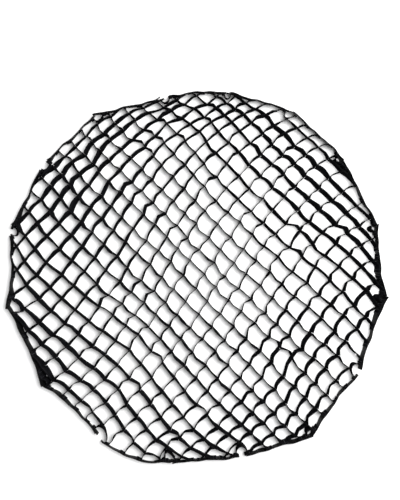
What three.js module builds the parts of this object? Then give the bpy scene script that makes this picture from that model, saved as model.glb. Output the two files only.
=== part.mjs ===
// Fabric honeycomb grid (egg crate) for the front of a sixteen-rod parabolic softbox.
//
// Two families of black nylon strips stand on edge and cross at right angles. They are half-lapped like the
// dividers of a wine box: the rising strips are slit from the top, the falling strips from the bottom. Sixteen
// webbing bands with hook tape on the outside close the rim, one between each pair of softbox rods. The strip
// ends are sewn to them. The cells can be racked: every crossing works as a hinge about a vertical line, so
// the squares lean into rhombuses until the rim bands meet at their ends.
//
// Units are millimetres, +Z is up, and the grid stands on z = 0 with its middle over the origin.
import * as THREE from "three";

// Driving dimensions
const CELL = 38; // centre to centre of neighbouring strips
const STRIPS_PER_FAMILY = 23; // odd, so that one strip of each family passes over the middle
const DEPTH = 40; // height of the strips, which is what limits the beam
const CLOTH = 1; // thickness of a strip: coated nylon, two layers bonded
const EDGE_ROW = 24; // from the outermost strip to the inner face of the rim
const WEBBING = 1.2; // thickness of a rim band
const HOOK_TAPE = 1.6; // thickness of the hook tape on the outside of a band
const HOOK_WIDTH = 25; // width of the hook tape, centred on the band
const CORNER_GAP = 16; // between the ends of neighbouring bands, where a softbox rod sits
const RIM_SIDES = 16;

// Fits
const RACK_LIMIT = THREE.MathUtils.degToRad(8); // how far the cells lean before the rim bands meet
const SLIT_CLEARANCE = 0.35; // each side of a crossing strip at the rack limit
const LAP_CLEARANCE = 0.4; // between the bottoms of two interlocked slits
const END_CLEARANCE = 1.2; // from a strip's end to the rim band it is sewn to
const LEAST_END = 4; // cloth left between a strip's last slit and its end

// The outermost rising strips would take the model past sixty separate pieces, so they are left out
const RISING_LEFT_OUT = 1;

const APOTHEM = (CELL * (STRIPS_PER_FAMILY - 1)) / 2 + EDGE_ROW; // middle to the inner face of a band
const SIDE = 2 * APOTHEM * Math.tan(Math.PI / RIM_SIDES); // length of one inner side of the rim
const SLIT = CLOTH / Math.cos(RACK_LIMIT) + CLOTH * Math.tan(RACK_LIMIT) + 2 * SLIT_CLEARANCE;
const LATTICE_TURN = Math.PI / 4; // the rising strips run at 45 degrees to +X

const clothMaterial = new THREE.MeshStandardMaterial({ color: 0x0d0d0f, roughness: 0.75, metalness: 0 });
const bandMaterial = new THREE.MeshStandardMaterial({ color: 0x101012, roughness: 0.9, metalness: 0 });

const twoDigits = (n) => String(n).padStart(2, "0");

// The reach of a strip from the middle of its line to the rim, for a strip that lies `offset` to the left of
// the direction `heading`. The rim side it meets also takes off a corner, as the cloth has a thickness.
function reach(heading, offset) {
  let shortest = Infinity;
  for (let side = 0; side < RIM_SIDES; side++) {
    const lean = (side * 2 * Math.PI) / RIM_SIDES - heading;
    if (Math.cos(lean) < 1e-6) continue;
    const toFace = (APOTHEM - END_CLEARANCE - offset * Math.sin(lean)) / Math.cos(lean);
    const corner = (CLOTH / 2) * Math.abs(Math.tan(lean));
    shortest = Math.min(shortest, toFace - corner);
  }
  return shortest;
}

// The slits of a strip as [from, to] along its length, one for each strip of the other family that it meets. A
// slit that comes too close to an end of the cloth runs out through it.
function slits(start, end) {
  const half = (STRIPS_PER_FAMILY - 1) / 2;
  const found = [];
  for (let k = -half; k <= half; k++) {
    let from = k * CELL - SLIT / 2;
    let to = k * CELL + SLIT / 2;
    if (to < start || from > end) continue;
    if (from < start + LEAST_END) from = start;
    if (to > end - LEAST_END) to = end;
    found.push([from, to]);
  }
  return found;
}

// The outline of a strip seen from its side: x along the strip, y up.
function stripOutline(heading, offset, slitFromTop) {
  const end = reach(heading, offset);
  const start = -reach(heading + Math.PI, -offset);
  const slitEnd = (DEPTH + LAP_CLEARANCE) / 2;
  const edge = [[start, 0]];
  for (const [from, to] of slits(start, end)) edge.push([from, 0], [from, slitEnd], [to, slitEnd], [to, 0]);
  edge.push([end, 0]);
  // A slit that runs out through an end of the cloth takes the corner off.
  if (edge[1][0] === start) edge.splice(0, 2);
  if (edge[edge.length - 2][0] === end) edge.splice(-2, 2);
  edge.push([end, DEPTH], [start, DEPTH]);
  const outline = edge.map(([x, y]) => new THREE.Vector2(x, slitFromTop ? DEPTH - y : y));
  if (slitFromTop) outline.reverse();
  return new THREE.Shape(outline);
}

// A strip as a standing sheet of cloth, its length along x and its thickness along y.
function stripMesh(name, heading, offset, slitFromTop) {
  const outline = stripOutline(heading, offset, slitFromTop);
  const sheet = new THREE.ExtrudeGeometry(outline, { depth: CLOTH, bevelEnabled: false });
  sheet.translate(0, 0, -CLOTH / 2);
  const mesh = new THREE.Mesh(sheet, clothMaterial);
  mesh.name = name;
  mesh.rotation.x = Math.PI / 2;
  mesh.position.y = offset;
  return mesh;
}

// One family of parallel strips, in a group turned to the direction they run in.
function stripFamily(prefix, heading, leftOut, slitFromTop) {
  const family = new THREE.Group();
  family.rotation.z = heading;
  const half = (STRIPS_PER_FAMILY - 1) / 2;
  for (let k = leftOut - half; k <= half - leftOut; k++) {
    family.add(stripMesh(prefix + twoDigits(k + half + 1), heading, k * CELL, slitFromTop));
  }
  return family;
}

// A rim band: webbing as deep as the strips, with the hook tape standing out of its outer face.
function bandMesh(side) {
  const length = SIDE - CORNER_GAP;
  const tapeLow = (DEPTH - HOOK_WIDTH) / 2;
  const face = WEBBING + HOOK_TAPE;
  const section = new THREE.Shape([
    new THREE.Vector2(0, 0),
    new THREE.Vector2(WEBBING, 0),
    new THREE.Vector2(WEBBING, tapeLow),
    new THREE.Vector2(face, tapeLow),
    new THREE.Vector2(face, DEPTH - tapeLow),
    new THREE.Vector2(WEBBING, DEPTH - tapeLow),
    new THREE.Vector2(WEBBING, DEPTH),
    new THREE.Vector2(0, DEPTH),
  ]);
  const band = new THREE.ExtrudeGeometry(section, { depth: length, bevelEnabled: false });
  band.translate(0, 0, -length / 2);
  band.rotateX(Math.PI / 2);
  const mesh = new THREE.Mesh(band, bandMaterial);
  mesh.name = "rim_band_" + twoDigits(side + 1);
  mesh.position.x = APOTHEM;
  return mesh;
}

// The rim: each band turned to its own side. The first side faces +X.
function rim() {
  const ring = new THREE.Group();
  for (let side = 0; side < RIM_SIDES; side++) {
    const place = new THREE.Group();
    place.rotation.z = (side * 2 * Math.PI) / RIM_SIDES;
    place.add(bandMesh(side));
    ring.add(place);
  }
  return ring;
}

const grid = new THREE.Group();
grid.add(stripFamily("rising_strip_", LATTICE_TURN, RISING_LEFT_OUT, true));
grid.add(stripFamily("falling_strip_", LATTICE_TURN + Math.PI / 2, 0, false));
grid.add(rim());

export default grid;
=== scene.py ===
# %% [markdown]
# # A fabric honeycomb grid, laid down on a white studio floor
#
# A honeycomb grid, or egg crate, hooks into the front of a softbox and keeps its light from spreading. It
# is made of two families of black nylon strips that stand on edge and are half-lapped through each other,
# inside a rim of sixteen webbing bands with hook tape on the outside. Out of its softbox nothing keeps it
# flat, so it lies on the floor with its rows bent, its strips bowed and a few cells creased.
#
# This lesson builds that limp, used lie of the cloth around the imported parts. Strips and bands stand for
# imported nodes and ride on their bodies, so the cells still rack.

import math
import random

import bmesh
import bpy
import numpy as np
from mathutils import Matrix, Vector


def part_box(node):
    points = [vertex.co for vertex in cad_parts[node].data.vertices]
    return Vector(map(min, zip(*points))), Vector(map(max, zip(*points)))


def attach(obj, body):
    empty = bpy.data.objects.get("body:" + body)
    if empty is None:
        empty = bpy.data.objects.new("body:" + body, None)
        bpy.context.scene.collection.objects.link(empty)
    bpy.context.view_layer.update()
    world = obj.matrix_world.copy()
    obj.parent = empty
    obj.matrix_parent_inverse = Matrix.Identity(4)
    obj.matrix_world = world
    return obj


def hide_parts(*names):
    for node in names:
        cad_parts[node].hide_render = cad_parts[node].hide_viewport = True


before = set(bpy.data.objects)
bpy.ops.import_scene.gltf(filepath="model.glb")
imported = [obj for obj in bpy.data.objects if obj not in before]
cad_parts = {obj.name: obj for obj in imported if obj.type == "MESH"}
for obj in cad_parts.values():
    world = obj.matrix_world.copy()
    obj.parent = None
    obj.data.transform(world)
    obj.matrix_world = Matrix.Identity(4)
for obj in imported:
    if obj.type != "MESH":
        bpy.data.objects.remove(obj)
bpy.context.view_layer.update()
bpy.ops.object.select_all(action="DESELECT")

# %% [markdown]
# ## The sizes that everything is built on
#
# The frame already knows how large the grid is. The first band faces +X, so the low side of its box is the
# inner face of the rim, and two neighbouring strips give the pitch of the cells. Lengths of cloth are
# worked out in millimetres, the way a maker would, and only turned to metres when a mesh is made. Finishes
# are in metres throughout.

# %% Read the driving sizes
MM = 0.001
band_low, band_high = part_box("rim_band_01")
first_low, first_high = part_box("rising_strip_12")
next_low, next_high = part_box("rising_strip_13")
RIM_SIDES = len([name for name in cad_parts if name.startswith("rim_band")])
STRIPS = len([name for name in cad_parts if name.startswith("falling_strip")])
HALF = (STRIPS - 1) // 2
APOTHEM = band_low.x / MM
DEPTH = band_high.z / MM
CELL = ((next_low + next_high) / 2 - (first_low + first_high) / 2).length / MM
SIDE = 2 * APOTHEM * math.tan(math.pi / RIM_SIDES)
SIDE_ANGLE = 360 / RIM_SIDES  # in degrees, from one band to the next
print(f"cell {CELL:.1f} mm, depth {DEPTH:.1f} mm, rim {APOTHEM:.1f} mm to the inner face, side {SIDE:.1f} mm")

# %% [markdown]
# ## Camera
#
# The grid is looked at from straight above, from a standing person's eye height. It is close enough for
# perspective to show the inner faces of the rim. The camera's shift puts the middle of the grid a little
# low in an upright frame.

# %% Camera
EYE_HEIGHT = 1.76
camera_data = bpy.data.cameras.new("camera")
camera_data.lens = 53
camera_data.shift_x = 0.004
camera_data.shift_y = 0.056
camera = bpy.data.objects.new("camera", camera_data)
camera.location = (0, 0, EYE_HEIGHT)
bpy.context.scene.collection.objects.link(camera)
bpy.context.scene.camera = camera
print("camera height", camera.location.z, "m")

# %% [markdown]
# ## Finishes
#
# Black cloth is never a flat black. Coated nylon has a fine weave and handled patches, webbing is ribbed,
# hook tape is a field of tiny hooks, and bonded thread is twisted. Each pattern is scaled in real lengths.
# Some of the darkening is painted shade: along the nylon's edges, in the hollows between the webbing's ribs
# and in the grooves of the thread's twist.
# Colours are given as sRGB hex values and turned to linear light by one function, and one helper adds a
# node together with its settings and links.

# %% Colour and node helpers
def linear(hex_colour):
    """An sRGB hex colour as linear RGBA."""
    channels = [int(hex_colour[k:k + 2], 16) / 255 for k in (1, 3, 5)]
    return (*[c / 12.92 if c <= 0.04045 else ((c + 0.055) / 1.055) ** 2.4 for c in channels], 1.0)


def add_node(tree, kind, inputs=(), **settings):
    """Adds a node. inputs maps sockets to values, or to the sockets that feed them."""
    node = tree.nodes.new(kind)
    for name, value in settings.items():
        setattr(node, name, value)
    for socket, value in dict(inputs).items():
        if isinstance(value, bpy.types.NodeSocket):
            tree.links.new(value, node.inputs[socket])
        else:
            node.inputs[socket].default_value = value
    return node


def new_material(name):
    """An empty material: its node tree and its output."""
    material = bpy.data.materials.new(name)
    material.use_nodes = True
    material.node_tree.nodes.clear()
    return material, material.node_tree, add_node(material.node_tree, "ShaderNodeOutputMaterial")


print("linear mid grey:", linear("#808080")[0])

# %% [markdown]
# ### Coated nylon
#
# The strips are a plain-woven nylon, coated and hot cut so that its edges don't fray. The weave is about
# 0.4 mm a thread, too fine to show from any distance, so it is drawn at 1.2 mm. It follows the cloth's own
# UV map, which is in metres, so it bends with the strip. Handled patches are a little lighter and rougher.
# The cloth is painted darker along its top and bottom edges. This is painted shade, so that the top edge,
# which takes the light from above, stays near black. The gloss is left at nothing: seen from above, it would
# turn the upright walls grey, and a grid's walls have to stay near black.

# %% Coated nylon
NYLON_WEAVE = 0.0012  # from thread to thread
NYLON_PATCHES = 45.0  # handled patches in a metre
NYLON_CREASES = 160.0  # fine creases in a metre
NYLON_EDGE_SHADE = 0.0015  # the width of the painted shade along the top and bottom edges


def ramp(tree, source, low_colour, high_colour, low=0.35, high=0.65):
    """A colour that turns from one to the other as the source goes from low to high."""
    node = add_node(tree, "ShaderNodeValToRGB", {"Fac": source})
    node.color_ramp.elements[0].position = low
    node.color_ramp.elements[0].color = linear(low_colour)
    node.color_ramp.elements[1].position = high
    node.color_ramp.elements[1].color = linear(high_colour)
    return node.outputs["Color"]


WAVE_LENGTH = math.pi / 10  # of Blender's wave texture at a scale of 1


def woven(tree, warp_pitch, weft_pitch):
    """The height of a weave: two sets of round threads, in metres, over the cloth's UV map."""
    place = add_node(tree, "ShaderNodeUVMap", uv_map="cloth").outputs["UV"]
    bands = []
    for direction, pitch in (("X", warp_pitch), ("Y", weft_pitch)):
        wave = add_node(
            tree, "ShaderNodeTexWave",
            {"Vector": place, "Scale": WAVE_LENGTH / pitch, "Distortion": 0.3, "Detail": 1.0,
             "Detail Scale": 1.5},
            wave_type="BANDS", bands_direction=direction,
        )
        bands.append(wave.outputs["Fac"])
    height = add_node(tree, "ShaderNodeMath", {0: bands[0], 1: bands[1]}, operation="MULTIPLY")
    return place, height.outputs["Value"]


def coated_nylon():
    material, tree, output = new_material("coated_nylon")
    middle = DEPTH * MM / 2
    place, weave = woven(tree, NYLON_WEAVE, NYLON_WEAVE)
    handled = add_node(tree, "ShaderNodeTexNoise", {"Vector": place, "Scale": NYLON_PATCHES, "Detail": 3.0})
    creases = add_node(tree, "ShaderNodeTexNoise", {"Vector": place, "Scale": NYLON_CREASES, "Detail": 4.0})
    height = add_node(tree, "ShaderNodeSeparateXYZ", {"Vector": place}).outputs["Y"]
    above = add_node(tree, "ShaderNodeMath", {0: height, 1: middle}, operation="SUBTRACT").outputs["Value"]
    from_middle = add_node(tree, "ShaderNodeMath", {0: above}, operation="ABSOLUTE").outputs["Value"]
    # painted shade: the cloth turns darker near its top and bottom edges, so the lit top edge stays near
    # black
    edge = add_node(
        tree, "ShaderNodeMapRange",
        {"Value": from_middle, "From Min": middle - NYLON_EDGE_SHADE, "From Max": middle, "To Min": 0.0,
         "To Max": 1.0},
    )
    cloth = ramp(tree, handled.outputs["Fac"], "#131315", "#1f1f22")
    # mixes the painted edge shade, #0f0f10, over the handled cloth
    colour = add_node(
        tree, "ShaderNodeMix", {0: edge.outputs["Result"], 6: cloth, 7: linear("#0f0f10")}, data_type="RGBA"
    )
    roughness = add_node(
        tree, "ShaderNodeMapRange",
        {"Value": handled.outputs["Fac"], "From Min": 0.3, "From Max": 0.7, "To Min": 0.85, "To Max": 1.0},
    )
    fine = add_node(tree, "ShaderNodeBump", {"Height": weave, "Strength": 0.35, "Distance": 0.0002})
    bump = add_node(
        tree, "ShaderNodeBump",
        {"Height": creases.outputs["Fac"], "Strength": 0.25, "Distance": 0.002,
         "Normal": fine.outputs["Normal"]},
    )
    shader = add_node(
        tree, "ShaderNodeBsdfPrincipled",
        {"Base Color": colour.outputs[2], "Roughness": roughness.outputs["Result"], "IOR": 1.5,
         "Specular IOR Level": 0.0, "Normal": bump.outputs["Normal"]},
    )
    tree.links.new(shader.outputs["BSDF"], output.inputs["Surface"])
    return material


NYLON = coated_nylon()
print("made", NYLON.name)

# %% [markdown]
# ### Webbing, hook tape and thread
#
# The rim is polyester webbing: stout ribs run across it about every 1.4 mm. The hook tape has moulded hooks
# every 1.6 mm, which scatter light so that it looks almost furry and very dark. Both patterns are too fine
# to show on an object this large, so they are drawn at about twice their size. The thread is bonded
# polyester, twisted, and a little lighter and shinier than the cloth, so a seam just shows.

# %% Webbing, hook tape and thread
RIB_PITCH = 0.0028
RIB_WEFT = 0.0056  # from one weft thread to the next, up the webbing
HOOK_PITCH = 0.0028
TWIST_PITCH = 0.0005


def dark_fabric(name, colours, roughness, height, distance, strength, gloss):
    """A dark cloth with a bump: the first colour on the low parts of its relief, the second on the high."""
    material, tree, output = new_material(name)
    source = height(tree)
    bump = add_node(tree, "ShaderNodeBump", {"Height": source, "Strength": strength, "Distance": distance})
    shader = add_node(
        tree, "ShaderNodeBsdfPrincipled",
        {"Base Color": ramp(tree, source, *colours, low=0.1, high=0.9), "Roughness": roughness,
         "Specular IOR Level": gloss, "Normal": bump.outputs["Normal"]},
    )
    tree.links.new(shader.outputs["BSDF"], output.inputs["Surface"])
    return material


def ribs(tree):
    return woven(tree, RIB_PITCH, RIB_WEFT)[1]


def hooks(tree):
    place = add_node(tree, "ShaderNodeUVMap", uv_map="cloth").outputs["UV"]
    return add_node(
        tree, "ShaderNodeTexVoronoi", {"Vector": place, "Scale": 1 / HOOK_PITCH, "Randomness": 0.45},
    ).outputs["Distance"]


def twist(tree):
    place = add_node(tree, "ShaderNodeTexCoord").outputs["Object"]
    return add_node(
        tree, "ShaderNodeTexWave", {"Vector": place, "Scale": WAVE_LENGTH / TWIST_PITCH},
        bands_direction="DIAGONAL",
    ).outputs["Fac"]


# the webbing is darker in the hollows between its ribs: painted shade
WEBBING = dark_fabric("polyester_webbing", ("#0b0b0c", "#19191b"), 0.75, ribs, 0.0008, 0.9, 0.12)
HOOK_TAPE = dark_fabric("nylon_hook_tape", ("#222225", "#0c0c0d"), 0.7, hooks, 0.0012, 0.9, 0.25)
# the thread's twist is darker in its grooves than on its ridges: painted shade; the thread itself is lighter
# than the cloth
THREAD = dark_fabric("bonded_thread", ("#2c2c30", "#404046"), 0.5, twist, 0.0001, 0.5, 0.3)
print("made", WEBBING.name, HOOK_TAPE.name, THREAD.name)

# %% [markdown]
# ## How the grid lies
#
# On the bench the crossings form a square lattice. Laid down, the middle of the grid has turned and slid,
# while the rim has been pushed into a rough sixteen-sided shape. So a place on the bench is moved in three
# steps. The middle takes a turned and shifted lattice and the rim takes its own turned and drawn-in
# outline. A place between them takes a share of both. A few broad pushes, where a hand has moved the cloth,
# finish the lie.
#
# Places on the bench are given in cells: a counts along the rising strips and b along the falling ones.

# %% The lie of the middle and of the rim
RISING_HEADING = 45
FALLING_HEADING = 135
MIDDLE = (-9, 33)  # where the middle crossing has slid to
MIDDLE_RISING = (38.6, 54.5)  # one cell along a rising strip in the middle: its length and its heading
MIDDLE_FALLING = (40.6, 135.7)  # and one cell along a falling strip

# At each corner of the rim, from the one just above +X anticlockwise: how far it has turned, in degrees, and
# how far it is drawn in.
CORNER_TURN = [4.5, 6, 4.5, 2, -1, -2, -2.5, -3, -3, 0.5, 2, 2.5, 3, 2, 3.5, 5]
CORNER_DRAW = [13, 11, 4, 12, 22, 0, 1, -4, -2, 8, 11, 15, 19, -7, 11, 6]
BAND_BOW = [-6, -2, 2, 3, 8, -1, -1, -2, -9, -9, -11, 19, 1, 0, -8, -7]  # outwards, at a band's middle

# Broad pushes: the place on the bench, the reach, and how far the cloth has gone.
PUSHES = [
    (430, -10, 130, -1, 22), (-30, -420, 90, -17, -18), (-160, -170, 90, 6, 17), (-430, -90, 130, -7, -18),
    (30, 330, 90, 15, -4), (370, 250, 90, -16, 24), (130, -300, 130, 7, -6), (110, 80, 130, -10, -2),
    (-370, 240, 90, -2, 20), (-130, 430, 90, -13, 18), (190, 400, 90, 2, 18), (170, 210, 90, 3, -9),
    (-390, 30, 60, -13, -5), (-100, 260, 60, 8, -7), (360, -220, 90, 7, 9), (-120, -420, 90, -13, 6),
    (-240, 370, 90, -13, 1), (-40, 30, 90, -3, 8), (30, 430, 90, 6, 10), (270, 310, 60, -7, 8),
]
RIM_WAVES = ((29, 0.7, 1.0), (47, 2.1, 0.8), (83, 4.0, 0.4))  # per turn, phase and height in mm
LOOSE_FROM = 0.1  # share of the rim's radius inside which only the middle's lie counts
RIM_GAINS = 2.5  # how late the rim's outline takes over on the way out; 1 would be evenly
PUSH_ENDS = 12  # how sharply a push dies away at the rim


def eased(share):
    """A share that leaves 0 and comes to 1 gently."""
    return share * share * (3 - 2 * share)


def heading(degrees, length=1.0):
    angle = math.radians(degrees)
    return np.array([math.cos(angle), math.sin(angle)]) * length


def last_corner(angle):
    """The corner before an angle in radians, and the share of the way from it to the next corner."""
    corners = ((np.degrees(angle) - SIDE_ANGLE / 2) / SIDE_ANGLE) % RIM_SIDES
    return np.floor(corners).astype(int) % RIM_SIDES, corners - np.floor(corners)


def at_corners(values, angle):
    """A value that is given at the rim's corners, for any angle in radians."""
    corner, share = last_corner(angle)
    values = np.array(values, float)
    return values[corner] * (1 - share) + values[(corner + 1) % RIM_SIDES] * share


def waves(angle, shift=0.0):
    """The small waves of a used band, in mm."""
    return sum(height * np.sin(count * angle + phase + shift) for count, phase, height in RIM_WAVES)


def bow_out(angle):
    """How far a band bows out of its straight line, in mm."""
    corner, share = last_corner(angle)
    return np.array(BAND_BOW, float)[(corner + 1) % RIM_SIDES] * 4 * share * (1 - share) + waves(angle)


def on_bench(a, b):
    """A place in cells, in mm on the bench."""
    a, b = np.asarray(a, float), np.asarray(b, float)
    return CELL * (a[..., None] * heading(RISING_HEADING) + b[..., None] * heading(FALLING_HEADING))


def laid(a, b):
    """Where a place in cells lies on the floor, in mm, at the top of the cloth."""
    a, b = np.asarray(a, float), np.asarray(b, float)
    bench = on_bench(a, b)
    radius = np.hypot(bench[..., 0], bench[..., 1])
    angle = np.arctan2(bench[..., 1], bench[..., 0])
    middle = np.array(MIDDLE) + a[..., None] * heading(MIDDLE_RISING[1], MIDDLE_RISING[0])
    middle = middle + b[..., None] * heading(MIDDLE_FALLING[1], MIDDLE_FALLING[0])
    rim_radius = radius * (1 - (at_corners(CORNER_DRAW, angle) - bow_out(angle)) / APOTHEM)
    rim_angle = angle + np.radians(at_corners(CORNER_TURN, angle))
    rim = np.stack([rim_radius * np.cos(rim_angle), rim_radius * np.sin(rim_angle)], -1)
    share = eased(np.clip((radius / APOTHEM - LOOSE_FROM) / (1 - LOOSE_FROM), 0, 1) ** RIM_GAINS)[..., None]
    place = middle * (1 - share) + rim * share
    loose = np.clip(1 - (radius / APOTHEM) ** PUSH_ENDS, 0, 1)
    for x, y, reach, dx, dy in PUSHES:
        push = loose * np.exp(-((bench[..., 0] - x) ** 2 + (bench[..., 1] - y) ** 2) / reach**2)
        place = place + push[..., None] * np.array([dx, dy])
    return place


print("the middle crossing lies at", laid(0, 0), "mm")

# %% [markdown]
# The cloth also leans. The rim's top edge is pulled inwards nearly all round, so that a band's foot stands
# further out than its top. Two corners stand upright, and the one just below +X leans out. Inside, each
# crossing leans a little its own way. The two strips of a crossing share its lean, because they hold each
# other.

# %% The lean of the cloth
CORNER_LEAN = [3, 9, 9, 5, 5, 6, 8, 8, 2, 0, 6, 4, 2, 0, 8, -5]  # foot outside the top at the corners, in mm
WAVE_LEAN = 1.5  # how far a wave of the rim makes it lean, over the wave's height
WAVE_SHIFT = 1.6  # the lean's waves come later than the outline's, in radians
RIM_DEPTH = 1.6  # in cells: how far in from the rim its lean is felt
LEAN_SPREAD = 1.0  # of a crossing's own lean
JITTER = 1.5  # how far a crossing strays from the smooth lie

# Where the foot of the cloth has gone from under its top: the place on the bench, the reach, and how far.
FOOT_SHIFTS = [
    (0, 340, 150, 0, 3), (-330, 150, 140, 2, 0), (330, 130, 140, -2.5, -1), (250, -200, 140, -2.5, 2),
    (0, -220, 120, 0, 1), (-410, -170, 70, 3, 1), (-357, 243, 30, 5, -6), (-430, 118, 25, 9, -3),
    (-432, -70, 24, 6, 1), (-380, -235, 24, 4, 3), (382, 232, 26, -12, -5), (382, -232, 26, -7, 3),
]

chance = random.Random(23)
jitter = {}
own_lean = {}
for a in range(-HALF - 1, HALF + 2):
    for b in range(-HALF - 1, HALF + 2):
        jitter[a, b] = np.array([chance.gauss(0, JITTER), chance.gauss(0, JITTER)])
        own_lean[a, b] = np.array([chance.gauss(0, LEAN_SPREAD), chance.gauss(0, LEAN_SPREAD)])


def rim_share(a, b):
    """0 well inside the grid, 1 at the rim."""
    radius = np.linalg.norm(on_bench(a, b), axis=-1)
    return eased(np.clip((radius - (APOTHEM - RIM_DEPTH * CELL)) / (RIM_DEPTH * CELL), 0, 1))


def foot_shift(bench):
    """How far the cloth's foot has gone from under its top at a place on the bench."""
    shift = np.zeros(bench.shape)
    for x, y, reach, dx, dy in FOOT_SHIFTS:
        near = np.exp(-((bench[..., 0] - x) ** 2 + (bench[..., 1] - y) ** 2) / reach**2)
        shift = shift + near[..., None] * np.array([dx, dy])
    return shift


def rim_lean(a, b):
    """The lean of the rim's cloth at that angle: from its foot to its top."""
    bench = on_bench(a, b)
    angle = np.arctan2(bench[..., 1], bench[..., 0])
    lean = -at_corners(CORNER_LEAN, angle) + WAVE_LEAN * waves(angle, shift=WAVE_SHIFT)
    turned = angle + np.radians(at_corners(CORNER_TURN, angle))
    return lean[..., None] * np.stack([np.cos(turned), np.sin(turned)], -1) - foot_shift(bench)


print("lean of the rim at +X:", rim_lean(8, -8))

# %% [markdown]
# ### Creases
#
# Here and there a stretch between two crossings is folded to a sharp corner. Rows of such stretches follow
# old folds of the cloth, and the rest are scattered. The corner takes up cloth, so the two crossings at its
# ends are drawn together. Each creased stretch is named by its line and the crossing that it starts from.

# %% Creased stretches
OLD_FOLDS = {(b, 0) for b in range(-8, 7)} | {(b, -6) for b in range(-1, 4)} | {(b, 4) for b in range(-4, 0)}
RISING_CREASES = OLD_FOLDS | {
    (-1, -8), (-1, -9), (2, -5), (2, -4), (0, 9), (-1, 8), (-2, 7), (2, 4), (-3, 4), (-4, 6),
    (-6, 7), (-6, 5), (-7, 3), (-9, 4), (-8, 7), (-9, 6), (-6, -9), (-6, -8), (2, -9), (1, -4),
}
FALLING_CREASES = {
    (5, 5), (7, 5), (3, 6), (4, 6), (8, 6), (5, 7), (0, -7), (0, -8), (6, -4), (5, -5), (8, -6),
    (4, 7), (3, 7), (0, 8), (1, 10), (-1, 10), (2, 9), (-8, -6), (-6, -6), (-6, -2), (-8, -2),
}
# How far a creased stretch draws the crossing at one of its ends, in mm; the other end goes the other way.
RISING_DRAW = np.array([-0.5, 3.0])  # at its start
FALLING_DRAW = np.array([1.0, -4.0])  # at its end


def crossing(a, b):
    """The top of a crossing and its lean, in mm."""
    share = float(rim_share(a, b))
    place = laid(a, b) + jitter[a, b] * (1 - share)
    rising = ((b, a) in RISING_CREASES) - ((b, a - 1) in RISING_CREASES)
    falling = ((a, b - 1) in FALLING_CREASES) - ((a, b) in FALLING_CREASES)
    lean = (own_lean[a, b] - foot_shift(on_bench(a, b))) * (1 - share) + rim_lean(a, b) * share
    return place + (RISING_DRAW * rising + FALLING_DRAW * falling), lean


print(len(RISING_CREASES) + len(FALLING_CREASES), "creased stretches")

# %% [markdown]
# ## From a plan to a standing strip
#
# A strip is drawn in plan first: a line from crossing to crossing, and a few columns on every stretch.
# Cloth that is longer than the way it has to go bows out, mostly to the same side in one part of the grid.
# Some stretches break at a blunt corner instead, and some are creased to a sharp one. Each column then
# stands up as a row of points, and the faces between them are left out where the strip is slit for its
# neighbour. The mesh is written directly, as a strap's is, because its shape is its route.

# %% Bows and creases
COLUMNS = 10  # on one stretch between two crossings
BOW_TILT = 0.3  # how far a bow's peak is pulled towards one end
BROKEN = 0.42  # the share of stretches that break instead of bowing
BREAK_PLACES = (0.3, 0.7)  # the share of a stretch at which it may break
BREAK_HEIGHT = 1.25  # of a bow with as much cloth
CREASE_SIDES = (0.85, 0.9)  # how round the two sides of a corner are; 1 would be straight
CREASE_HEIGHT = 10.5
CREASE_SPREAD = (0.8, 1.1)  # of that height
RISING_CREASE_AT = 0.5  # the share of a creased stretch at which its corner stands
FALLING_CREASE_AT = 0.36
BOW_SPREAD = 1.4
# How high a stretch bows on the middle diagonal of the grid, and how that changes away from it: by how much,
# and within how many mm.
RISING_BOW = 4.2
RISING_CHANGE = (2.5, 500)  # more to the lower right and less to the upper left
FALLING_BOW = 4.0
FALLING_CHANGE = (6.5, 480)  # less to the lower left and to the upper right
FALLING_RESTLESS = (1.4, 350)  # a further spread to the upper right


def bow(share, peak_early):
    """A bow of height 1 that peaks before the middle of a stretch, or after it."""
    tilt = BOW_TILT if peak_early else -BOW_TILT
    return 4 * share * (1 - share) * (1 + tilt * (1 - 2 * share))


def crease(share, at, height):
    """A corner at a share of the stretch, its sides slightly rounded."""
    up = np.clip(share / at, 0, 1) ** CREASE_SIDES[0]
    down = np.clip((1 - share) / (1 - at), 0, 1) ** CREASE_SIDES[1]
    return height * np.minimum(up, down)


def bow_or_break(share, height):
    """The shape of one stretch: mostly a bow, but in places the cloth breaks at a blunt corner."""
    if chance.random() < BROKEN:
        return crease(share, chance.uniform(*BREAK_PLACES), BREAK_HEIGHT * height)
    return height * bow(share, height > 0)


def rising_bow(place):
    """How far a rising stretch bows to its upper left, in mm."""
    x, y = place
    change, within = RISING_CHANGE
    return RISING_BOW + change * float(np.clip((x - y) / within, -1, 1))


def falling_bow(place):
    """How far a falling stretch bows to its lower left; less than nothing is to the upper right."""
    x, y = place
    change, within = FALLING_CHANGE
    spread, spread_within = FALLING_RESTLESS
    restless = spread * max(0.0, min(1.0, (x + y) / spread_within))
    return FALLING_BOW - change * min(1.0, (abs(x + y) / within) ** 2) + chance.gauss(0, 1) * restless


def creased(at):
    """The place and height of a sharp corner."""
    return at, CREASE_HEIGHT * chance.uniform(*CREASE_SPREAD)


print("a bow at its middle:", round(float(bow(0.5, True)), 2), "of its height")

# %% [markdown]
# ### The corner loops
#
# A softbox rod passes each corner of the rim. A loop of cloth goes round the rod's place on the inside,
# from one band to the next, so the rim stays in one piece. Strips that come to a corner end on its loop.
# Each loop is given by how far its feet stand from the corner and how deep it goes in, in mm.

# %% The corner loops on the bench
LOOPS = [
    (8, 12), (9, 10), (12, 17), (8, 12), (10, 13), (11, 14), (10, 12), (10, 15),
    (15, 30), (8, 10), (19, 18), (12, 24), (14, 24), (8, 12), (14, 19), (9, 11),
]
LOOP_LEAN = 1.5  # how far out a loop's top stands over its foot at its middle, besides the rim's own lean
LOOP_INSET = 3.2  # from the inner face of a band to the middle of a loop's foot, over the tabs
LOOP_FOOT = 8  # sewn to the band
LOOP_GAP = 2.0  # from a strip's end to the loop


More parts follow.
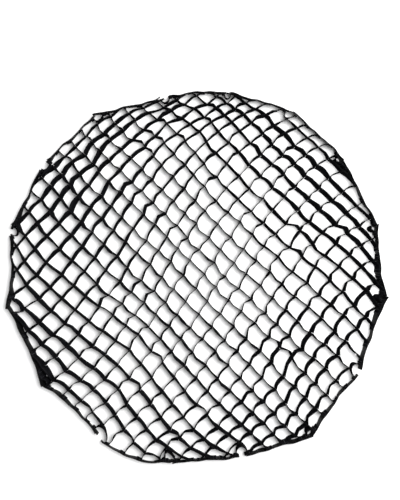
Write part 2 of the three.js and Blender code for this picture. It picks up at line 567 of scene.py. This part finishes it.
def loop_ends(corner):
    """Where a loop leaves one band and comes to the next, in mm, and its way in at its middle."""
    inward = -heading((corner + 0.5) * SIDE_ANGLE)
    tip = -inward * APOTHEM / math.cos(math.pi / RIM_SIDES) + inward * LOOP_INSET
    width = LOOPS[corner][0]
    first = tip - heading(corner * SIDE_ANGLE + 90, width)
    last = tip + heading((corner + 1) * SIDE_ANGLE + 90, width)
    return first, last, inward


print("loop 1 is", round(float(np.linalg.norm(loop_ends(0)[1] - loop_ends(0)[0])), 1), "mm wide")

# %% [markdown]
# A line of the lattice reaches as far as the rim on both sides. Where it comes to a corner loop first, it
# stops there. Seen from above a loop is half an ellipse, so the place where a line meets it can be worked
# out.

# %% The reach of a strip's line inside the rim
LEAST_STRETCH = 0.16  # in cells: a crossing nearer the rim than this is sewn into the band
TAB_INSET = 1.0  # from the inner face of a band to the middle of a tab's cloth


def cells(family, line, step):
    """a and b of a place at a step along a line."""
    return (step, line) if family == "rising" else (line, step)


def way_along(family):
    """The way that a family's strips run in, one mm long."""
    return heading(RISING_HEADING if family == "rising" else FALLING_HEADING)


def in_loop(corner, start, step):
    """The shares of a step at which a line passes into a loop and out of it, or None if it passes by."""
    first, last, inward = loop_ends(corner)
    half = (last - first) / 2
    wide, deep = np.linalg.norm(half) + LOOP_GAP, LOOPS[corner][1] + LOOP_GAP
    across = half / np.linalg.norm(half)
    from_middle = start - (first + last) / 2
    u, du = float(from_middle @ across) / wide, float(step @ across) / wide
    v, dv = float(from_middle @ inward) / deep, float(step @ inward) / deep
    square, cross_term, rest = du * du + dv * dv, u * du + v * dv, u * u + v * v - 1
    root = cross_term * cross_term - square * rest
    if root <= 0:
        return None
    return (-cross_term - root**0.5) / square, (-cross_term + root**0.5) / square


def reach(family, line):
    """The first and last place of a line inside the rim, counted in cells along it."""
    step = way_along(family) * CELL
    start = on_bench(*cells(family, line, 0))
    low, high = -math.inf, math.inf
    for side in range(RIM_SIDES):
        outward = heading(side * SIDE_ANGLE)
        speed = float(way_along(family) @ outward) * CELL
        left = APOTHEM - TAB_INSET - float(start @ outward)
        if abs(speed) < 1e-6:  # the line runs along this side
            continue
        if speed > 0:
            high = min(high, left / speed)
        else:
            low = max(low, left / speed)
    for corner in range(RIM_SIDES):
        passed = in_loop(corner, start, step)
        if passed and sum(passed) > 0:
            high = min(high, passed[0])
        elif passed:
            low = max(low, passed[1])
    return low, high


for line in (0, HALF):
    print("line", line, "reaches", [round(v, 2) for v in reach("rising", line)])

# %% [markdown]
# The plan of a strip is a list of columns. Each column knows its place at the top of the cloth, its lean,
# how much flutter it may have and whether a slit follows it. Flutter is the small waviness of a free edge.
# It is nothing at a crossing, where the other strip holds the cloth.

# %% The plan of a strip
FOOT_BOW = 0.7  # a strip's foot bows less than its top, because the floor holds it
SLIT_HALF = 1.5  # of a slit, with room for the bowed cloth that passes through it
TAB_LEG = 4  # of the strip that belongs to its tab, before the bend
TAB_BEND = 1.5  # from the rim's line to the start of the bend
TAB_GAP = 0.4  # between a strip's end and its tab
TAB_STEPS = (2, 5, 8, 12)  # cloth turned along the band and sewn to it, in mm from the bend
LEAST_COLUMNS = 3  # on a stretch that the rim cuts short
FLUTTER_ROUND = 0.7  # how soon flutter grows away from a crossing; 1 would be a plain sine


def knots(family, line):
    """The places along a line where its stretches end: rim, crossings, rim."""
    low, high = reach(family, line)
    inside = [k for k in range(math.ceil(low + LEAST_STRETCH), math.floor(high - LEAST_STRETCH) + 1)
              if abs(k) <= HALF]
    return [low, *inside, high]


def in_cells(bench):
    """A place on the bench, in cells."""
    return bench @ heading(RISING_HEADING) / CELL, bench @ heading(FALLING_HEADING) / CELL


def ends_on_loop(family, line, step):
    """True for an end that stops at a corner loop, inside the rim's line."""
    bench = on_bench(*cells(family, line, step))
    outermost = max(float(bench @ heading(side * SIDE_ANGLE)) for side in range(RIM_SIDES))
    return outermost < APOTHEM - TAB_INSET - 0.1  # a little inside, so that rounding doesn't matter


def tab(family, line, step, way):
    """The side of the rim that an end of a line meets, and its tab's places and leans. way is +1 or -1."""
    bench = on_bench(*cells(family, line, step))
    side = max(range(RIM_SIDES), key=lambda n: float(bench @ heading(n * SIDE_ANGLE)))
    onward = heading(side * SIDE_ANGLE + 90)
    turn = 1 if float(way_along(family) @ onward) * way > 0 else -1
    if SIDE / 2 - turn * float(bench @ onward) < TAB_STEPS[-1]:
        turn = -turn
    a, b = in_cells(np.array([bench + turn * onward * distance for distance in (0, *TAB_STEPS)]))
    return side, laid(a, b), rim_lean(a, b)


def knot_place(family, line, step):
    a, b = cells(family, line, step)
    if isinstance(step, int):
        return crossing(a, b)
    return laid(a, b), rim_lean(a, b)


def stretch_shape(family, line, step, share, place):
    """How far a stretch bows to the left of its way, at shares of its length."""
    if family == "rising":
        if (line, step) in RISING_CREASES:
            return crease(share, *creased(RISING_CREASE_AT))
        return bow_or_break(share, rising_bow(place) + chance.gauss(0, BOW_SPREAD))
    if (line, step) in FALLING_CREASES:
        return -crease(share, *creased(FALLING_CREASE_AT))
    return bow_or_break(share, falling_bow(place) + chance.gauss(0, BOW_SPREAD))


def strip_plan(family, line):
    """The columns of a strip: places, leans, flutter, and for each gap between columns if it is slit."""
    steps = knots(family, line)
    cuts = [0 if ends_on_loop(family, line, steps[end]) else TAB_LEG for end in (0, -1)]
    places, leans, flutter, slit, bows = [], [], [], [], []
    for first, last in zip(steps, steps[1:]):
        start, start_lean = knot_place(family, line, first)
        end, end_lean = knot_place(family, line, last)
        length = float(np.linalg.norm(end - start))
        full = min(1.0, length / CELL)
        cut_start = (SLIT_HALF if isinstance(first, int) else cuts[0]) / length
        cut_end = (SLIT_HALF if isinstance(last, int) else cuts[1]) / length
        share = np.linspace(cut_start, 1 - cut_end, max(LEAST_COLUMNS, round(COLUMNS * full)))
        if isinstance(first, int):
            share = np.insert(share, 0, 0.0)
        way = (end - start) / length
        left = np.array([-way[1], way[0]])
        side = stretch_shape(family, line, first, share, (start + end) / 2) * full
        for s, offset, ease in zip(share, side, eased(share)):
            places.append(start + way * length * s + left * offset)
            leans.append(start_lean * (1 - ease) + end_lean * ease)
            flutter.append(math.sin(math.pi * s) ** FLUTTER_ROUND * full if 0 < s < 1 else 0.0)
            bows.append(left * offset)
        marks = [False] * len(share)
        if isinstance(first, int):
            marks[0] = True
        marks[-1] = isinstance(last, int)
        slit += marks
    flutter[0] = flutter[-1] = 0.0
    leans = np.array(leans) + np.array(bows) * (1 - FOOT_BOW)
    return np.array(places), leans, np.array(flutter), slit[:-1]


plan = strip_plan("rising", 0)
print("rising strip 12 has", len(plan[0]), "columns and", sum(plan[3]), "slit gaps")

# %% [markdown]
# ## Standing a plan up
#
# One function stands a plan up as a sheet: points in columns and rows, a UV map in metres, and then
# Solidify for the thickness of the cloth, applied at once.

# %% Standing cloth
def along(places):
    """The distance along a line of places, from its first."""
    return np.concatenate([[0], np.cumsum(np.linalg.norm(np.diff(places, axis=0), axis=1))])


def sideways(places):
    """The unit normal to the left of a line of places."""
    way = np.gradient(places, axis=0)
    way /= np.linalg.norm(way, axis=1)[:, None]
    return np.stack([-way[:, 1], way[:, 0]], -1)


def standing_cloth(name, sheets, rows, thickness, material):
    """One piece of standing sheets, each as points[column, row] in mm and the places of its columns.

    A sheet's left_out(column, row) is true for a face that isn't there.
    """
    bm = bmesh.new()
    uv = bm.loops.layers.uv.new("cloth")
    for columns, points, left_out in sheets:
        distance = along(columns) * MM
        verts = [[bm.verts.new(Vector(p) * MM) for p in column] for column in points]
        for c in range(len(verts) - 1):
            for r in range(len(rows) - 1):
                if left_out(c, r):
                    continue
                corners = ((c, r), (c + 1, r), (c + 1, r + 1), (c, r + 1))
                face = bm.faces.new([verts[cc][rr] for cc, rr in corners])
                face.smooth = True
                for loop, (cc, rr) in zip(face.loops, corners):
                    loop[uv].uv = (distance[cc], rows[rr] * MM)
    bmesh.ops.delete(bm, geom=[v for v in bm.verts if not v.link_faces], context="VERTS")
    mesh = bpy.data.meshes.new(name)
    bm.to_mesh(mesh)
    bm.free()
    mesh.materials.append(material)
    piece = bpy.data.objects.new(name, mesh)
    bpy.context.scene.collection.objects.link(piece)
    solid = piece.modifiers.new("thickness", "SOLIDIFY")
    solid.thickness = thickness * MM
    solid.offset = 0
    bpy.context.view_layer.objects.active = piece
    bpy.ops.object.modifier_apply(modifier=solid.name)
    return piece


print("ready to stand cloth up")

# %% [markdown]
# ## One stitch, and rows of them
#
# A stitch is a short length of thread that dives into the cloth at both ends. It is modelled once by hand:
# a six-sided cylinder whose ends are extruded downwards and narrowed. Rows of stitches are copies of its
# points, turned to lie along the seam with their backs out of the cloth. Thousands of them are needed, so
# one stitch has only twenty faces. Bonded thread on such webbing is about 0.7 mm thick.

# %% Model one stitch
STITCH_LENGTH = 2.8
STITCH_DIVE = 0.6  # of that length, at each end, on its way into the cloth
STITCH_DEPTH = 0.45  # how far an end goes down
STITCH_NARROWS = (1, 0.7, 0.5)  # an end against the middle
STITCH_LIFT = 0.1  # from the cloth to the middle of the thread
THREAD_RADIUS = 0.35


def model_stitch():
    """The points and faces of one stitch along X, with its back up +Z, in metres."""
    bpy.ops.object.select_all(action="DESELECT")
    straight = (STITCH_LENGTH - 2 * STITCH_DIVE) * MM
    bpy.ops.mesh.primitive_cylinder_add(
        vertices=6, radius=THREAD_RADIUS * MM, depth=straight, rotation=(0, math.pi / 2, 0),
    )
    stitch = bpy.context.object
    bpy.ops.object.transform_apply(location=False, rotation=True, scale=False)
    bpy.ops.object.mode_set(mode="EDIT")
    bpy.ops.mesh.select_mode(type="FACE")
    for end in (-1, 1):
        bpy.ops.mesh.select_all(action="DESELECT")
        bm = bmesh.from_edit_mesh(stitch.data)
        for face in bm.faces:
            face.select_set(face.normal.x * end > 0.9)
        bmesh.update_edit_mesh(stitch.data)
        dive = (STITCH_DIVE * MM * end, 0, -STITCH_DEPTH * MM)
        bpy.ops.mesh.extrude_region_move(TRANSFORM_OT_translate={"value": dive})
        bpy.ops.transform.resize(value=STITCH_NARROWS)
    bpy.ops.object.mode_set(mode="OBJECT")
    points = np.array([vert.co[:] for vert in stitch.data.vertices])
    faces = [list(face.vertices) for face in stitch.data.polygons]
    bpy.data.objects.remove(stitch)
    return points, faces


STITCH_POINTS, STITCH_FACES = model_stitch()
print("one stitch has", len(STITCH_FACES), "faces")

# %% [markdown]
# A seam is one piece: all its stitches on one body. Thread that holds cloth to a band rides with the band.

# %% Rows of stitches
def seam(name, places, body):
    """Stitches as one piece. Each place is a point in mm, the seam's way and the way out of the cloth."""
    verts, faces = [], []
    for point, way, out in places:
        way = way / np.linalg.norm(way)
        out = out - way * float(out @ way)
        out = out / np.linalg.norm(out)
        turn = np.stack([way, np.cross(out, way), out])
        first = len(verts)
        verts += [tuple(p) for p in STITCH_POINTS @ turn + np.array(point) * MM]
        faces += [[first + v for v in face] for face in STITCH_FACES]
    mesh = bpy.data.meshes.new(name)
    mesh.from_pydata(verts, [], faces)
    mesh.materials.append(THREAD)
    for face in mesh.polygons:
        face.use_smooth = True
    piece = bpy.data.objects.new(name, mesh)
    bpy.context.scene.collection.objects.link(piece)
    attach(piece, body)
    return piece


print("thread is", 2 * THREAD_RADIUS, "mm thick")

# %% [markdown]
# ## The strips
#
# The rising strips are slit from the top and the falling ones from the bottom, each to just past the
# middle, so neither cuts into the other. Rows of points meet that depth exactly. The outermost rising
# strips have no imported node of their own: they are short, and ride with the strip next to them. The shown
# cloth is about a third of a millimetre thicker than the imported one, so that its lines keep their weight
# when the grid is seen whole.

# %% The strips
CLOTH = 1.35  # two bonded layers of nylon and their coating
SLIT_PAST = 0.2  # how far a slit goes past the middle
SLIT_END = {"rising": DEPTH / 2 - SLIT_PAST, "falling": DEPTH / 2 + SLIT_PAST}
HALF_ROWS = 3  # rows of faces in each half of a strip's depth
FLUTTER = 0.9
FLUTTER_LONG = 13  # mm for a radian of the long waves
FLUTTER_FADE = 47  # mm for a radian of their rise and fall
FLUTTER_SHORT = 6.5  # mm for a radian of the short waves
FLUTTER_TWIST = 2.2  # how far the long waves at the top are ahead of those at the foot, in radians
EDGE_RIPPLE = 0.6  # of short waves, which grow towards both edges from a quiet height
QUIET_HEIGHT = 0.4  # as a share of the depth
FULL_TURN = 6.28


def strip_rows(family):
    """Heights of the rows of points, with one row at the end of the slits."""
    slit_end = SLIT_END[family]
    below = [slit_end * k / HALF_ROWS for k in range(HALF_ROWS)]
    above = [slit_end + (DEPTH - slit_end) * k / HALF_ROWS for k in range(HALF_ROWS + 1)]
    return np.array(below + above)


def strip_points(places, leans, flutter, rows):
    """points[column, row]: each column stands on its lean and waves by its flutter."""
    normal = sideways(places)
    distance = along(places)
    long_turn, fade_turn, short_turn, _ = [chance.uniform(0, FULL_TURN) for _ in range(4)]
    points = np.zeros((len(places), len(rows), 3))
    for r, height in enumerate(rows):
        up = height / DEPTH
        wave = np.sin(distance / FLUTTER_LONG + long_turn + FLUTTER_TWIST * up)
        wave *= np.cos(distance / FLUTTER_FADE + fade_turn)
        wave += EDGE_RIPPLE * np.sin(distance / FLUTTER_SHORT + short_turn) * (up - QUIET_HEIGHT)
        points[:, r, :2] = places + leans * (up - 1) + normal * (flutter * FLUTTER * wave)[:, None]
        points[:, r, 2] = height
    return points


def make_strip(family, number):
    line = number - HALF - 1 if family == "rising" else HALF + 1 - number
    places, leans, flutter, slit = strip_plan(family, line)
    rows = strip_rows(family)
    points = strip_points(places, leans, flutter, rows)
    steps = knots(family, line)
    for end, way in ((0, -1), (-1, 1)):
        if ends_on_loop(family, line, steps[end]):
            continue
        side, tab_places, tab_leans = tab(family, line, steps[end], way)
        onward = tab_places[0] - places[end]
        first = places[end] + onward * TAB_GAP / TAB_LEG
        start = places[end] + onward * (1 - TAB_BEND / TAB_LEG)
        tab_places = np.array([first, start, *tab_places[1:]])
        tab_leans = np.array([leans[end], leans[end], *tab_leans[1:]])
        tabs[side].append((tab_places, tab_leans))

    def left_out(c, r):
        return slit[c] and ((rows[r] >= SLIT_END[family]) == (family == "rising"))

    piece = standing_cloth(f"{family}_cloth_{number:02d}", [(places, points, left_out)], rows, CLOTH, NYLON)
    node = f"{family}_strip_{number:02d}"
    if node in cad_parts:
        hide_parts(node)
        body = node
    else:
        body = f"{family}_strip_{2 if number == 1 else number - 1:02d}"
    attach(piece, body)
    return piece


tabs = {side: [] for side in range(RIM_SIDES)}
strips = [make_strip(family, number) for family in ("rising", "falling") for number in range(1, STRIPS + 1)]
print(len(strips), "strips,", sum(len(s.data.polygons) for s in strips), "faces")

# %% [markdown]
# ## The rim bands
#
# Each band is a length of ribbed webbing as deep as the strips, and 25 mm hook tape is sewn to the middle
# of its outer face. At some corners there is an open gap where the softbox rod goes, at others the ends
# have slid over each other. Every end is given by how far it stops short of its corner, in mm, and less
# than nothing runs past it.

# %% The ends of the bands
# For each band: short of its first and of its last corner, going anticlockwise.
BAND_ENDS = [
    (2, -8), (2, 2), (-6, -2), (1, -3), (1, 8), (8, -10), (6, 9), (10, 8),
    (8, -8), (2, -5), (2, 7), (7, -3), (2, 9), (8, -3), (2, 6), (6, -6),
]
# At some ends the seam has given way and the tape peels off the webbing, by side: (first end, last end).
BAND_PEEL = {0: (4, 0), 3: (0, 3), 5: (8, 0), 6: (0, 5), 7: (5, 5), 8: (4, 0), 10: (0, 4), 12: (5, 0)}
PEEL_LENGTH = 22
PEEL_CURL = 1.6  # how it opens; 1 would be a straight gape
PEEL_IN = 0.35  # the share of a peel by which the webbing goes in
PEEL_OUT = 0.65  # and the tape goes out
WEBBING_THICKNESS = 1.2
TAPE_THICKNESS = 1.6
TAPE_BASE = 0.7
TAPE_WIDTH = 25
TAPE_MARGIN = 1.8  # the plain woven edge of the tape, beside its field of hooks
BAND_CLEARANCE = 0.3  # from the rim's line to the webbing
TAPE_CLEARANCE = 0.05  # from the webbing to the tape
BAND_STEP = 4  # between columns
PAST_COLUMNS = 3  # on an end that runs past its corner


def band_plan(side):
    """Places along the inner face of a band at its top, the leans there, and how far the tape peels off."""
    short_first, short_last = BAND_ENDS[side]
    first, last = -SIDE / 2 + max(short_first, 0), SIDE / 2 - max(short_last, 0)
    steps = np.linspace(first, last, round((last - first) / BAND_STEP))
    outward = heading(side * SIDE_ANGLE)
    onward = heading(side * SIDE_ANGLE + 90)
    a, b = in_cells(outward * APOTHEM + steps[:, None] * onward)
    places, leans = laid(a, b), rim_lean(a, b)
    for end, past in ((0, -short_first), (-1, -short_last)):
        if past <= 0:
            continue
        way = places[end] - places[1 if end == 0 else -2]
        way /= np.linalg.norm(way)
        extra = np.array([places[end] + way * past * k / PAST_COLUMNS for k in range(1, PAST_COLUMNS + 1)])
        if end == 0:
            places = np.concatenate([extra[::-1], places])
            leans = np.concatenate([np.repeat(leans[:1], PAST_COLUMNS, 0), leans])
        else:
            places = np.concatenate([places, extra])
            leans = np.concatenate([leans, np.repeat(leans[-1:], PAST_COLUMNS, 0)])
    distance = along(places)
    peel = np.zeros(len(places))
    for height, from_end in zip(BAND_PEEL.get(side, (0, 0)), (distance, distance[-1] - distance)):
        peel += height * np.clip(1 - from_end / PEEL_LENGTH, 0, 1) ** PEEL_CURL
    return places, leans, peel


print("band 1 has", len(band_plan(0)[0]), "columns")

# %% [markdown]
# A band's cloth is drawn out along its line from a closed section, so its selvedges can be round and the
# tape can have its thick field of hooks between two thin edges. Each section is a few points of (outwards,
# up).

# %% Sections of webbing and tape
SELVEDGE = 0.35  # how far a selvedge is rounded off
HOOKS_SLOPE = 0.6  # from the tape's plain edge up to the tops of its hooks
WEBBING_SECTION = [
    (0, SELVEDGE), (0, DEPTH - SELVEDGE), (SELVEDGE, DEPTH), (WEBBING_THICKNESS - SELVEDGE, DEPTH),
    (WEBBING_THICKNESS, DEPTH - SELVEDGE), (WEBBING_THICKNESS, SELVEDGE),
    (WEBBING_THICKNESS - SELVEDGE, 0), (SELVEDGE, 0),
]
TAPE_LOW, TAPE_HIGH = (DEPTH - TAPE_WIDTH) / 2, (DEPTH + TAPE_WIDTH) / 2
TAPE_SECTION = [
    (0, TAPE_LOW), (0, TAPE_HIGH), (TAPE_BASE, TAPE_HIGH), (TAPE_BASE, TAPE_HIGH - TAPE_MARGIN),
    (TAPE_THICKNESS, TAPE_HIGH - TAPE_MARGIN - HOOKS_SLOPE), (TAPE_THICKNESS, DEPTH / 2),
    (TAPE_THICKNESS, TAPE_LOW + TAPE_MARGIN + HOOKS_SLOPE), (TAPE_BASE, TAPE_LOW + TAPE_MARGIN),
    (TAPE_BASE, TAPE_LOW),
]


def band_point(place, lean, outward, out, height):
    """A point of a band's cloth: out from its inner face and up from the floor."""
    flat = place + lean * (height / DEPTH - 1) + outward * out
    return np.array([flat[0], flat[1], height])


def drawn_out(name, places, leans, offsets, section, material):
    """A closed section drawn out along a line of places. offsets holds how far out it goes at each place."""
    outward = -sideways(places)
    distance = along(places) * MM
    bm = bmesh.new()
    uv = bm.loops.layers.uv.new("cloth")
    rings = []
    for place, lean, out, offset in zip(places, leans, outward, offsets):
        ring = [band_point(place, lean, out, offset + x, z) for x, z in section]
        rings.append([bm.verts.new(Vector(p) * MM) for p in ring])
    count = len(section)
    for c in range(len(rings) - 1):
        for k in range(count):
            n = (k + 1) % count
            face = bm.faces.new((rings[c][k], rings[c][n], rings[c + 1][n], rings[c + 1][k]))
            corners = ((c, k), (c, n), (c + 1, n), (c + 1, k))
            for loop, (cc, kk) in zip(face.loops, corners):
                loop[uv].uv = (distance[cc], section[kk][1] * MM)
    bm.faces.new(rings[0][::-1])
    bm.faces.new(rings[-1])
    bmesh.ops.recalc_face_normals(bm, faces=bm.faces)
    mesh = bpy.data.meshes.new(name)
    bm.to_mesh(mesh)
    bm.free()
    mesh.materials.append(material)
    piece = bpy.data.objects.new(name, mesh)
    bpy.context.scene.collection.objects.link(piece)
    return piece


print("webbing", WEBBING_THICKNESS, "mm, tape", TAPE_THICKNESS, "mm at its hooks")

# %% [markdown]
# The tape is sewn on along both of its plain edges, with a stitch about every 3.5 mm.

# %% Bands with their tape and seams
TAPE_PITCH = 3.5
TAPE_SHORT = 3  # from the webbing's cut end to the tape's


def tape_seam(name, places, leans, offsets, body):
    """Two rows of stitches along the plain edges of a tape."""
    on_tape = offsets + TAPE_BASE + STITCH_LIFT
    outward = -sideways(places)
    distance = along(places)
    stitches = []
    for height in (TAPE_LOW + TAPE_MARGIN / 2, TAPE_HIGH - TAPE_MARGIN / 2):
        for at in np.arange(TAPE_PITCH, distance[-1] - TAPE_PITCH / 2, TAPE_PITCH):
            c = min(int(np.searchsorted(distance, at)) - 1, len(places) - 2)
            share = (at - distance[c]) / (distance[c + 1] - distance[c])
            ends = [band_point(places[k], leans[k], outward[k], on_tape[k], height) for k in (c, c + 1)]
            out = np.array([*(outward[c] * (1 - share) + outward[c + 1] * share), 0])
            stitches.append((ends[0] * (1 - share) + ends[1] * share, ends[1] - ends[0], out))
    return seam(name, stitches, body)


def make_band(number):
    places, leans, peel = band_plan(number - 1)
    node = f"rim_band_{number:02d}"
    inner = BAND_CLEARANCE - PEEL_IN * peel
    webbing = drawn_out(f"webbing_{number:02d}", places, leans, inner, WEBBING_SECTION, WEBBING)
    distance = along(places)
    kept = (distance > TAPE_SHORT) & (distance < distance[-1] - TAPE_SHORT)
    outer = (BAND_CLEARANCE + WEBBING_THICKNESS + TAPE_CLEARANCE + PEEL_OUT * peel)[kept]
    tape = drawn_out(f"hook_tape_{number:02d}", places[kept], leans[kept], outer, TAPE_SECTION, HOOK_TAPE)
    stitches = tape_seam(f"tape_stitches_{number:02d}", places[kept], leans[kept], outer, node)
    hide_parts(node)
    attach(webbing, node)
    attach(tape, node)
    return webbing, tape


bands = [make_band(number) for number in range(1, RIM_SIDES + 1)]
print(len(bands), "bands of webbing with hook tape")

# %% [markdown]
# ## The sewn tabs
#
# Where a strip comes to a band, its last few millimetres turn along the band and are sewn flat to it, with
# two upright rows of stitches. When the cells rack, a tab stays with its band while the strip swings, so
# the tabs of a band are one piece on the band's body. Each starts a hair's breadth past the end of its
# strip.

# %% The sewn tabs
TAB_PITCH = 4.0  # from stitch to stitch
TAB_ROW_END = 4.0  # from a cut edge to the first stitch
TAB_SEAMS = (3, 5)  # the columns of a tab that the rows of stitches stand on


TAB_ROWS = np.linspace(0, DEPTH, 5)  # heights of the rows of points


def upright(places, leans):
    """points[column, row] of cloth that stands on its lean, with no flutter."""
    points = np.zeros((len(places), len(TAB_ROWS), 3))
    for r, height in enumerate(TAB_ROWS):
        points[:, r, :2] = places + leans * (height / DEPTH - 1)
        points[:, r, 2] = height
    return points


def unslit(c, r):
    return False


def upright_row(column, out):
    """A row of stitches up a column of points, on the side of the cloth that faces the middle of the grid."""
    foot, way_up = column[0], column[-1] - column[0]
    if float(out @ foot) > 0:
        out = -out
    return [(foot + way_up * height / DEPTH + out * (CLOTH / 2 + STITCH_LIFT), way_up, out)
            for height in np.arange(TAB_ROW_END, DEPTH - TAB_ROW_END + 0.1, TAB_PITCH)]


def make_tabs(side):
    node = f"rim_band_{side + 1:02d}"
    sheets, stitches = [], []
    for places, leans in tabs[side]:
        points = upright(places, leans)
        sheets.append((places, points, unslit))
        for c in TAB_SEAMS:
            out = np.cross(points[c, 0] - points[c - 1, 0], points[c, -1] - points[c, 0])
            stitches += upright_row(points[c], out / np.linalg.norm(out))
    piece = standing_cloth(f"sewn_tabs_{side + 1:02d}", sheets, TAB_ROWS, CLOTH, NYLON)
    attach(piece, node)
    seams = seam(f"tab_stitches_{side + 1:02d}", stitches, node)
    return piece


sewn_tabs = [make_tabs(side) for side in range(RIM_SIDES)]
print(sum(len(found) for found in tabs.values()), "tabs on", len(sewn_tabs), "bands")

# %% [markdown]
# ## The corner loops
#
# Each loop stands like a strip. It is sewn to both its bands with an upright row of stitches at each foot.
# A piece can ride on one body only, so a loop goes with the first of its two bands.

# %% The corner loops
LOOP_COLUMNS = 15


def loop_line(corner):
    """The places of a loop's columns on the bench, and how far its top stands out over its foot at each."""
    first, last, inward = loop_ends(corner)
    turn = np.linspace(0, math.pi, LOOP_COLUMNS)[:, None]
    arch = (first + last) / 2 - (last - first) / 2 * np.cos(turn) + inward * LOOPS[corner][1] * np.sin(turn)
    first_way = heading(corner * SIDE_ANGLE + 90, LOOP_FOOT)
    last_way = heading((corner + 1) * SIDE_ANGLE + 90, LOOP_FOOT)
    line = [first - first_way, first - first_way * 0.5, *arch, last + last_way * 0.5, last + last_way]
    over = np.zeros((len(line), 2))
    over[2:-2] = -inward * LOOP_LEAN * np.sin(turn)
    return np.array(line), over


def make_loop(corner):
    line, over = loop_line(corner)
    a, b = in_cells(line)
    places, leans = laid(a, b) + over / 2, rim_lean(a, b) + over
    points = upright(places, leans)
    name = f"corner_loop_{corner + 1:02d}"
    node = f"rim_band_{corner + 1:02d}"
    piece = standing_cloth(name, [(places, points, unslit)], TAB_ROWS, CLOTH, NYLON)
    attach(piece, node)
    stitches = []
    for c in (1, len(places) - 2):
        stitches += upright_row(points[c], np.array([*sideways(places)[c], 0.0]))
    seams = seam(f"loop_stitches_{corner + 1:02d}", stitches, node)
    return piece


loops = [make_loop(corner) for corner in range(RIM_SIDES)]
print(len(loops), "corner loops")

# %% [markdown]
# ## Floor and light
#
# A product laid on a white sweep: the floor is pale and matt, a large soft light from the upper right
# throws short soft shadows to the lower left, and a second one overhead fills the cells.

# %% Floor
bpy.ops.mesh.primitive_plane_add(size=12, location=(0, 0, -0.0002))
floor = bpy.context.object
floor.name = "floor"
material, tree, output = new_material("painted_floor")
grain = add_node(
    tree, "ShaderNodeTexNoise",
    {"Vector": add_node(tree, "ShaderNodeTexCoord").outputs["Object"], "Scale": 3.0, "Detail": 2.0},
)
paint = add_node(
    tree, "ShaderNodeBsdfPrincipled",
    {"Base Color": ramp(tree, grain.outputs["Fac"], "#f0f0f0", "#f4f4f4"), "Roughness": 0.9,
     "Specular IOR Level": 0.1},
)
tree.links.new(paint.outputs["BSDF"], output.inputs["Surface"])
floor.data.materials.append(material)
print("floor is", floor.dimensions.x, "m wide")

# %% Lights
def soft_light(name, place, size, power):
    """A square soft light that points at the middle of the grid."""
    data = bpy.data.lights.new(name, "AREA")
    data.size = size
    data.energy = power
    light = bpy.data.objects.new(name, data)
    light.location = place
    light.rotation_euler = (-Vector(place)).to_track_quat("-Z", "Y").to_euler()
    bpy.context.scene.collection.objects.link(light)
    return light


soft_light("key", (0.42, 0.22, 2.1), 0.9, 71)
soft_light("overhead", (0.0, 0.0, 4.5), 3.0, 36)
world = bpy.data.worlds.new("studio")
world.use_nodes = True
world.node_tree.nodes["Background"].inputs["Color"].default_value = linear("#ffffff")
world.node_tree.nodes["Background"].inputs["Strength"].default_value = 0.27
bpy.context.scene.world = world
bpy.context.scene.view_settings.view_transform = "Standard"
print("two soft lights and a pale room")
